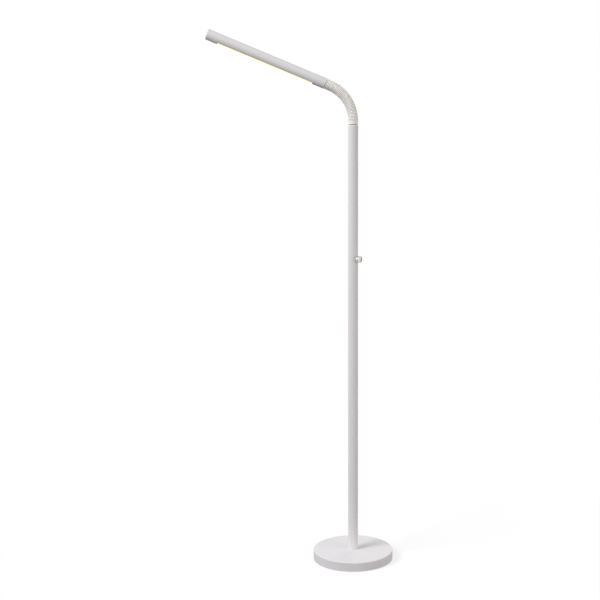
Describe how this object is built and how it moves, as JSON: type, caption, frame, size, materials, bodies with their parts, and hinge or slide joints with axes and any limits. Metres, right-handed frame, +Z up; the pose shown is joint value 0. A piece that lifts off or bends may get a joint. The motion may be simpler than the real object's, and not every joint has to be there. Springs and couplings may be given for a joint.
{
  "type": "gooseneck reading floor lamp",
  "caption": "Slim LED reading floor lamp: a straight pole on a round weighted base, a ribbed gooseneck and a tube-shaped head with a long lens under it.",
  "frame": {"origin": "centre of the underside of the foot pad, on the floor, under the pole's axis", "axes": "+Z up along the pole; the neck bends towards -X and the head points up to -X; -Y is the front"},
  "size_m": [0.5085, 0.2275, 1.4772],
  "materials": {
    "white_powder_coat": "fine matt powder coat, soft white",
    "white_cap": "matt white moulding",
    "white_collar": "satin white moulding",
    "cream_silicone": "matt warm white silicone",
    "gooseneck_steel": "oiled steel",
    "chrome": "bright chrome plate",
    "zinc_steel": "zinc plate",
    "black_steel": "black oxide",
    "opal_lens": "opal plastic, lit from behind",
    "led_phosphor": "yellow phosphor over the chips",
    "board_white": "white solder mask",
    "bare_aluminium": "mill finish",
    "cast_iron": "rough casting",
    "steel_sheet": "cold rolled sheet",
    "foam_pad": "fine black foam",
    "black_nylon": "moulded nylon",
    "white_nylon": "moulded nylon",
    "lead_pvc": "smooth cable jacket"
  },
  "bodies": {
    "stand": {"foot_pad": "foam_pad", "bottom_plate": "steel_sheet", "base_weight": "cast_iron", "base_shell": "white_powder_coat", "base_screws": "zinc_steel", "cord_gland": "black_nylon", "gland_nut": "black_nylon", "terminal_block": "white_nylon", "supply_lead": "lead_pvc", "pole": "white_powder_coat", "pole_foot": "zinc_steel", "pole_screws": "zinc_steel", "pole_top_fitting": "black_nylon", "neck_collar": "white_collar", "switch_body": "black_nylon", "switch_bush": "chrome", "switch_nut": "chrome", "driver_case": "white_nylon", "driver_ends": "white_nylon", "switched_lead": "lead_pvc", "pole_lead": "lead_pvc", "lower_ferrule": "gooseneck_steel", "lower_cuff": "cream_silicone", "neck_core": "gooseneck_steel", "neck_lead": "lead_pvc"},
    "knob": {"switch_spindle": "zinc_steel", "switch_knob": "chrome", "knob_screw": "black_steel"},
    "head": {"upper_cuff": "cream_silicone", "upper_ferrule": "gooseneck_steel", "head_rear_fitting": "black_nylon", "head_tube": "white_powder_coat", "head_end_cap": "white_cap", "heat_sink": "bare_aluminium", "led_board": "board_white", "led_chips": "led_phosphor", "diffuser": "opal_lens", "head_lead": "lead_pvc"},
    "neck_link_01": {"neck_link_01": "cream_silicone"},
    "neck_link_02": {"neck_link_02": "cream_silicone"},
    "neck_link_03": {"neck_link_03": "cream_silicone"},
    "neck_link_04": {"neck_link_04": "cream_silicone"},
    "neck_link_05": {"neck_link_05": "cream_silicone"},
    "neck_link_06": {"neck_link_06": "cream_silicone"},
    "neck_link_07": {"neck_link_07": "cream_silicone"},
    "neck_link_08": {"neck_link_08": "cream_silicone"},
    "neck_link_09": {"neck_link_09": "cream_silicone"},
    "neck_link_10": {"neck_link_10": "cream_silicone"},
    "neck_link_11": {"neck_link_11": "cream_silicone"},
    "neck_link_12": {"neck_link_12": "cream_silicone"},
    "neck_link_13": {"neck_link_13": "cream_silicone"},
    "neck_link_14": {"neck_link_14": "cream_silicone"},
    "neck_link_15": {"neck_link_15": "cream_silicone"},
    "neck_link_16": {"neck_link_16": "cream_silicone"}
  },
  "joints": [
    {"name": "neck_bend_01", "type": "hinge", "parent": "stand", "child": "neck_link_01", "pos_m": [0, 0, 1.2345], "axis": [0.0005, -1, 0.0003], "range_deg": [-5.63, 5.17], "deforming": ["neck_core", "neck_lead"]},
    {"name": "neck_bend_02", "type": "hinge", "parent": "neck_link_01", "child": "neck_link_02", "pos_m": [-0.00028, 0, 1.24201], "axis": [0.0005, -1, 0.0003], "range_deg": [-5.63, 5.17]},
    {"name": "neck_side_1", "type": "hinge", "parent": "neck_link_02", "child": "neck_link_03", "pos_m": [-0.00111, 0, 1.24949], "axis": [0.9891, 0, 0.1469], "range_deg": [-6, 6]},
    {"name": "neck_bend_03", "type": "hinge", "parent": "neck_link_03", "child": "neck_link_04", "pos_m": [-0.00249, 0, 1.25688], "axis": [0.0005, -1, 0.0003], "range_deg": [-5.63, 5.17]},
    {"name": "neck_bend_04", "type": "hinge", "parent": "neck_link_04", "child": "neck_link_05", "pos_m": [-0.00441, 0, 1.26415], "axis": [0.0005, -1, 0.0003], "range_deg": [-5.63, 5.17]},
    {"name": "neck_side_2", "type": "hinge", "parent": "neck_link_05", "child": "neck_link_06", "pos_m": [-0.00685, 0, 1.27126], "axis": [0.9328, 0, 0.3604], "range_deg": [-6, 6]},
    {"name": "neck_bend_05", "type": "hinge", "parent": "neck_link_06", "child": "neck_link_07", "pos_m": [-0.00982, 0, 1.27817], "axis": [0.0005, -1, 0.0003], "range_deg": [-5.63, 5.17]},
    {"name": "neck_bend_06", "type": "hinge", "parent": "neck_link_07", "child": "neck_link_08", "pos_m": [-0.01329, 0, 1.28484], "axis": [0.0005, -1, 0.0003], "range_deg": [-5.63, 5.17]},
    {"name": "neck_side_3", "type": "hinge", "parent": "neck_link_08", "child": "neck_link_09", "pos_m": [-0.01724, 0, 1.29124], "axis": [0.831, 0, 0.5563], "range_deg": [-6, 6]},
    {"name": "neck_bend_07", "type": "hinge", "parent": "neck_link_09", "child": "neck_link_10", "pos_m": [-0.02165, 0, 1.29733], "axis": [0.0005, -1, 0.0003], "range_deg": [-5.63, 5.17]},
    {"name": "neck_bend_08", "type": "hinge", "parent": "neck_link_10", "child": "neck_link_11", "pos_m": [-0.0265, 0, 1.30308], "axis": [0.0005, -1, 0.0003], "range_deg": [-5.63, 5.17]},
    {"name": "neck_side_4", "type": "hinge", "parent": "neck_link_11", "child": "neck_link_12", "pos_m": [-0.03176, 0, 1.30846], "axis": [0.6887, 0, 0.7251], "range_deg": [-6, 6]},
    {"name": "neck_bend_09", "type": "hinge", "parent": "neck_link_12", "child": "neck_link_13", "pos_m": [-0.0374, 0, 1.31343], "axis": [0.0005, -1, 0.0003], "range_deg": [-5.63, 5.17]},
    {"name": "neck_bend_10", "type": "hinge", "parent": "neck_link_13", "child": "neck_link_14", "pos_m": [-0.04339, 0, 1.31798], "axis": [0.0005, -1, 0.0003], "range_deg": [-5.63, 5.17]},
    {"name": "neck_side_5", "type": "hinge", "parent": "neck_link_14", "child": "neck_link_15", "pos_m": [-0.0497, 0, 1.32207], "axis": [0.5128, 0, 0.8585], "range_deg": [-6, 6]},
    {"name": "neck_bend_11", "type": "hinge", "parent": "neck_link_15", "child": "neck_link_16", "pos_m": [-0.05629, 0, 1.32568], "axis": [0.0005, -1, 0.0003], "range_deg": [-5.63, 5.17]},
    {"name": "neck_bend_12", "type": "hinge", "parent": "neck_link_16", "child": "head", "pos_m": [-0.06313, 0, 1.3288], "axis": [0.0005, -1, 0.0003], "range_deg": [-5.63, 5.17]},
    {"name": "knob_turn", "type": "hinge", "parent": "stand", "child": "knob", "pos_m": [0, 0, 0.8586], "axis": [0.766, -0.6428, 0], "range_deg": [0, 270]}
  ]
}
